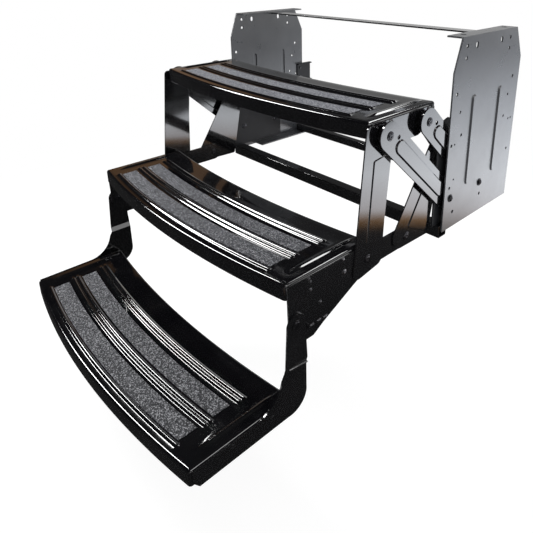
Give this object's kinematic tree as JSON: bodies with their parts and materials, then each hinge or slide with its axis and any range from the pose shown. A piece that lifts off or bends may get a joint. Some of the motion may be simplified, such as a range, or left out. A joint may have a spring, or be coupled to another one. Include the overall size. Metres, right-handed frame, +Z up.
{
  "type": "camper entry step",
  "caption": "Folding camper entry step: pressed treads hang from a steel frame on links and legs, and fold in under the floor.",
  "frame": {"origin": "middle of the four floor bolts, on the top face of the frame's top flanges", "axes": "+X to the right seen from the front of the step, +Y in under the camper, +Z up"},
  "size_m": [0.656, 0.8479, 0.5494],
  "materials": {
    "black_paint": "glossy black powder coat",
    "frame_paint": "satin black powder coat",
    "grip_coat": "coarse speckled grip surface",
    "pins": "black powder coat",
    "fasteners": "dark plated steel"
  },
  "bodies": {
    "frame": {"side_plate_right": "frame_paint", "side_plate_left": "frame_paint", "link_support_right": "frame_paint", "link_support_left": "frame_paint", "front_cross_tube": "black_paint", "rear_cross_tube": "black_paint", "top_cross_bar": "black_paint", "cross_bar_screws": "fasteners", "rear_bracket": "black_paint", "frame_pivot_pins": "pins", "frame_pivot_spacers": "pins", "rear_bracket_bolts": "fasteners"},
    "front_links": {"front_link_right": "black_paint", "front_link_left": "black_paint"},
    "rear_links": {"rear_link_right": "black_paint", "rear_link_left": "black_paint"},
    "top_step": {"top_tread": "black_paint", "top_grip_front": "grip_coat", "top_grip_rear": "grip_coat", "top_bracket_right": "black_paint", "top_bracket_left": "black_paint", "top_tread_bolts": "fasteners", "top_pivot_pins": "pins", "top_pivot_spacers": "pins"},
    "front_legs": {"front_leg_right": "black_paint", "front_leg_left": "black_paint"},
    "rear_legs": {"rear_leg_right": "black_paint", "rear_leg_left": "black_paint", "rear_leg_bolts": "fasteners"},
    "middle_step": {"middle_tread": "black_paint", "middle_grip_front": "grip_coat", "middle_grip_rear": "grip_coat", "middle_gusset_right": "black_paint", "middle_gusset_left": "black_paint", "middle_tread_bolts": "fasteners", "gusset_bolts": "fasteners", "middle_pivot_pins": "pins", "flip_pivot_pins": "pins", "flip_stop_pins": "pins"},
    "bottom_step": {"bottom_tread": "black_paint", "bottom_grip_front": "grip_coat", "bottom_grip_rear": "grip_coat", "bottom_arm_right": "black_paint", "bottom_arm_left": "black_paint", "bottom_tread_bolts": "fasteners"}
  },
  "joints": [
    {"name": "fold", "type": "hinge", "parent": "frame", "child": "front_links", "pos_m": [0, -0.104, -0.299], "axis": [-1, 0, 0], "range_deg": [0, 60]},
    {"name": "rear_link_fold", "type": "hinge", "parent": "frame", "child": "rear_links", "pos_m": [0, 0.003, -0.299], "axis": [-1, 0, 0], "range_deg": [0, 60]},
    {"name": "top_step_level", "type": "hinge", "parent": "front_links", "child": "top_step", "pos_m": [0, -0.286, -0.135], "axis": [1, 0, 0], "range_deg": [0, 60]},
    {"name": "front_leg_fold", "type": "hinge", "parent": "top_step", "child": "front_legs", "pos_m": [0, -0.286, -0.135], "axis": [1, 0, 0], "range_deg": [0, 24]},
    {"name": "rear_leg_fold", "type": "hinge", "parent": "top_step", "child": "rear_legs", "pos_m": [0, -0.179, -0.135], "axis": [1, 0, 0], "range_deg": [0, 24]},
    {"name": "middle_step_level", "type": "hinge", "parent": "front_legs", "child": "middle_step", "pos_m": [0, -0.319, -0.343], "axis": [-1, 0, 0], "range_deg": [0, 24]},
    {"name": "bottom_step_flip", "type": "hinge", "parent": "middle_step", "child": "bottom_step", "pos_m": [0, -0.478, -0.385], "axis": [-1, 0, 0], "range_deg": [0, 180]}
  ],
  "couplings": [
    {"joint": "rear_link_fold", "follows": "fold", "ratio": 1},
    {"joint": "top_step_level", "follows": "fold", "ratio": 1},
    {"joint": "front_leg_fold", "follows": "fold", "ratio": 0.4},
    {"joint": "rear_leg_fold", "follows": "fold", "ratio": 0.4},
    {"joint": "middle_step_level", "follows": "fold", "ratio": 0.4}
  ]
}
